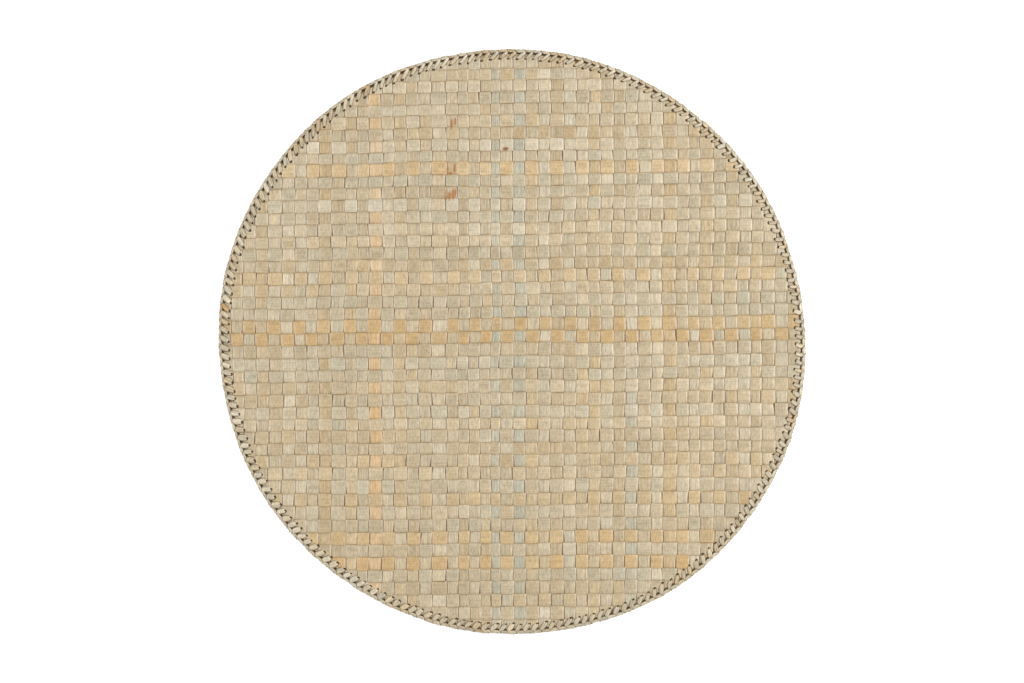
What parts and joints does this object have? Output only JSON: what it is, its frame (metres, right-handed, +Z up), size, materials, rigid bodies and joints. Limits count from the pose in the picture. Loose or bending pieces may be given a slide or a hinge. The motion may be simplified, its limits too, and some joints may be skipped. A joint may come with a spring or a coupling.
{
  "type": "round woven pandanus table mat",
  "caption": "Flat round mat of plain-woven pandanus leaf strips with a laced rim, laid on a table under a plate or dish.",
  "frame": {"origin": "centre of the mat's underside, on the surface that it lies on", "axes": "+Z up out of the face shown, +X along the weft strips to the picture's right, +Y along the warp strips to the picture's top"},
  "size_m": [0.38, 0.3786, 0.003],
  "materials": {
    "field_leaf": "dried pandanus leaf strips in plain weave, satin, straw to honey and amber with a few sage-grey strips",
    "lacing_leaf": "narrow dried pandanus leaf strip in blanket stitch, satin to slightly glossy, pale straw"
  },
  "bodies": {
    "root": {"woven_field": "field_leaf", "rim_lacing": "lacing_leaf"}
  },
  "joints": []
}
